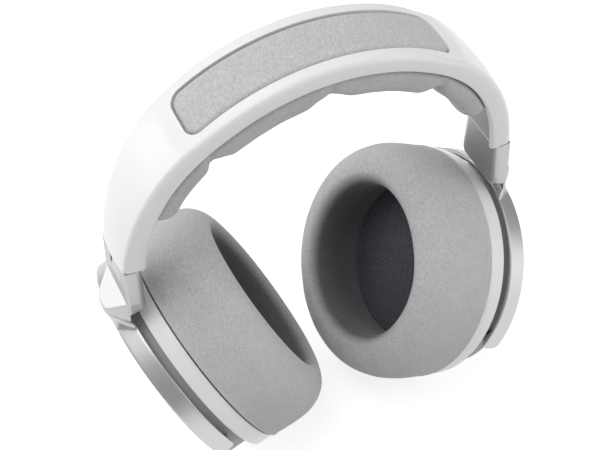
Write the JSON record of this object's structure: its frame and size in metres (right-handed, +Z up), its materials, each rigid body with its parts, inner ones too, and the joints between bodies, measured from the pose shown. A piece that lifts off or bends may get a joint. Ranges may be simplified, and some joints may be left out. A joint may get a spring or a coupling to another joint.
{
  "type": "gaming headset",
  "caption": "Over-ear headset: sprung headband with a padded underside, sliding arms and metal yokes that carry toed-in, tilting ear cups with soft fabric pads.",
  "frame": {"origin": "middle of the bottom of the bounding box, on the plane that both cups' feet stand on", "axes": "+X from the wearer's left to the right, +Y to the back of the head, +Z up through the headband's crown"},
  "size_m": [0.1732, 0.0974, 0.1903],
  "materials": {
    "white_shell": "satin-gloss moulded white",
    "grey_fabric": "fine melange knit over foam",
    "charcoal_fabric": "fine open acoustic cloth",
    "satin_aluminium": "satin, blasted and polished at the edges",
    "grey_metal": "satin metallic grey",
    "steel": "rolled strip and turned pins",
    "grey_plastic": "fine moulded grain",
    "dark_plastic": "fine moulded grain",
    "board_green": "solder mask"
  },
  "bodies": {
    "headband": {"headband_shell": "white_shell", "top_insert": "grey_fabric", "headband_spring": "steel", "headband_liner": "grey_plastic", "head_cushion": "grey_fabric", "right_slide_guide": "dark_plastic", "right_liner_screw_front": "steel", "right_liner_screw_back": "steel", "left_slide_guide": "dark_plastic", "left_liner_screw_front": "steel", "left_liner_screw_back": "steel"},
    "right_slider_arm": {"right_slider": "steel", "right_arm": "grey_metal"},
    "right_yoke_frame": {"right_yoke": "satin_aluminium", "right_swivel_pin": "steel", "right_front_pivot_pin": "steel", "right_back_pivot_pin": "steel"},
    "right_ear_cup": {"right_front_pivot_bush": "dark_plastic", "right_back_pivot_bush": "dark_plastic", "right_cup_ring": "white_shell", "right_rear_housing": "dark_plastic", "right_grille": "grey_metal", "right_grille_cloth": "charcoal_fabric", "right_baffle": "dark_plastic", "right_driver_frame": "dark_plastic", "right_driver_magnet": "steel", "right_driver_diaphragm": "dark_plastic", "right_driver_cover": "charcoal_fabric", "right_pad_plate": "dark_plastic", "right_ear_pad": "grey_fabric", "right_jack_block": "grey_plastic", "right_jack_socket": "dark_plastic", "right_terminal_board": "board_green"},
    "left_slider_arm": {"left_slider": "steel", "left_arm": "grey_metal"},
    "left_yoke_frame": {"left_yoke": "satin_aluminium", "left_swivel_pin": "steel", "left_front_pivot_pin": "steel", "left_back_pivot_pin": "steel"},
    "left_ear_cup": {"left_front_pivot_bush": "dark_plastic", "left_back_pivot_bush": "dark_plastic", "left_cup_ring": "white_shell", "left_rear_housing": "dark_plastic", "left_grille": "grey_metal", "left_grille_cloth": "charcoal_fabric", "left_baffle": "dark_plastic", "left_driver_frame": "dark_plastic", "left_driver_magnet": "steel", "left_driver_diaphragm": "dark_plastic", "left_driver_cover": "charcoal_fabric", "left_pad_plate": "dark_plastic", "left_ear_pad": "grey_fabric", "left_jack_block": "grey_plastic", "left_jack_socket": "dark_plastic", "left_terminal_board": "board_green"}
  },
  "joints": [
    {"name": "right_slide", "type": "slide", "parent": "headband", "child": "right_slider_arm", "axis": [0.1987, 0, -0.9801], "range_m": [0, 0.018]},
    {"name": "right_swivel", "type": "hinge", "parent": "right_slider_arm", "child": "right_yoke_frame", "pos_m": [0.0821, 0, 0.08921], "axis": [0, 0, 1], "range_deg": [-20, 20]},
    {"name": "right_tilt", "type": "hinge", "parent": "right_yoke_frame", "child": "right_ear_cup", "pos_m": [0.0593, 0, 0.04281], "axis": [0, 1, 0], "range_deg": [-3, 3]},
    {"name": "left_slide", "type": "slide", "parent": "headband", "child": "left_slider_arm", "axis": [-0.1987, 0, -0.9801], "range_m": [0, 0.018]},
    {"name": "left_swivel", "type": "hinge", "parent": "left_slider_arm", "child": "left_yoke_frame", "pos_m": [-0.0821, 0, 0.08921], "axis": [0, 0, 1], "range_deg": [-20, 20]},
    {"name": "left_tilt", "type": "hinge", "parent": "left_yoke_frame", "child": "left_ear_cup", "pos_m": [-0.0593, 0, 0.04281], "axis": [0, 1, 0], "range_deg": [-3, 3]}
  ]
}
